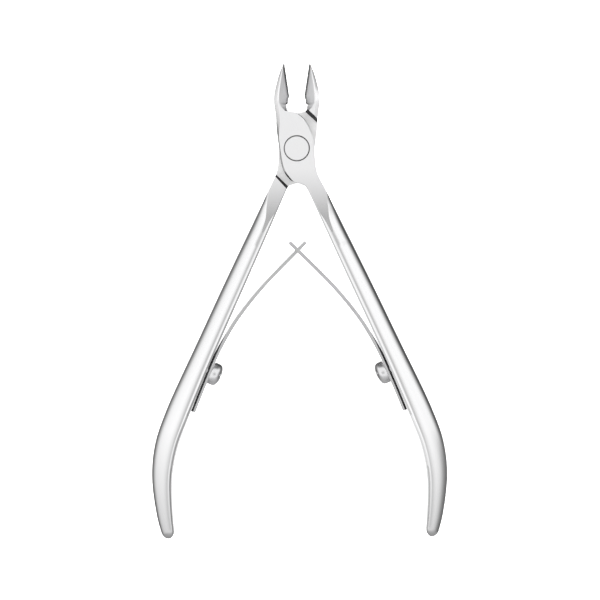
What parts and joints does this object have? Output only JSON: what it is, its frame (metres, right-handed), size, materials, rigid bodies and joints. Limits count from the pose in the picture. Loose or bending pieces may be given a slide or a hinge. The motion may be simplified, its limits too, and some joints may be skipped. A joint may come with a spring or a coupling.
{
  "type": "cuticle nipper",
  "caption": "Polished steel cuticle nipper with half-lapped jaws on a flush pivot, slim bowed handles and a pair of interlocking leaf springs.",
  "frame": {"origin": "on the pivot axis, at the flush rear end of the rivet, which is the face the nipper lies on", "axes": "+Y from the pivot towards the jaws, +X to the right seen from the front, +Z out of the front face, along the pivot axis"},
  "size_m": [0.074, 0.1185, 0.007],
  "materials": {
    "lever_steel": "mirror-polished stainless steel with satin-ground joint faces",
    "rivet_steel": "satin-ground stainless steel, flush with the joint faces",
    "spring_steel": "satin spring steel strip",
    "screw_steel": "turned and lightly polished steel"
  },
  "bodies": {
    "rear_half": {"rear_lever": "lever_steel", "pivot_rivet": "rivet_steel", "left_spring_base": "spring_steel", "left_spring_screw": "screw_steel"},
    "front_half": {"front_lever": "lever_steel", "right_spring_base": "spring_steel", "right_spring_screw": "screw_steel"},
    "left_leaf": {"left_spring_leaf": "spring_steel"},
    "right_leaf": {"right_spring_leaf": "spring_steel"}
  },
  "joints": [
    {"name": "lever_pivot", "type": "hinge", "parent": "rear_half", "child": "front_half", "pos_m": [0, 0, 0.0035], "axis": [0, 0, -1], "range_deg": [0, 16.3], "stiffness_Nm_per_rad": 1.2},
    {"name": "left_leaf_flex", "type": "hinge", "parent": "rear_half", "child": "left_leaf", "pos_m": [-0.01621, -0.04424, 0.0035], "axis": [0, 0, 1], "range_deg": [0, 9.4]},
    {"name": "right_leaf_flex", "type": "hinge", "parent": "front_half", "child": "right_leaf", "pos_m": [0.01698, -0.04395, 0.0035], "axis": [0, 0, -1], "range_deg": [0, 9.4]}
  ],
  "couplings": [
    {"joint": "left_leaf_flex", "follows": "lever_pivot", "ratio": 0.57},
    {"joint": "right_leaf_flex", "follows": "lever_pivot", "ratio": 0.57}
  ]
}
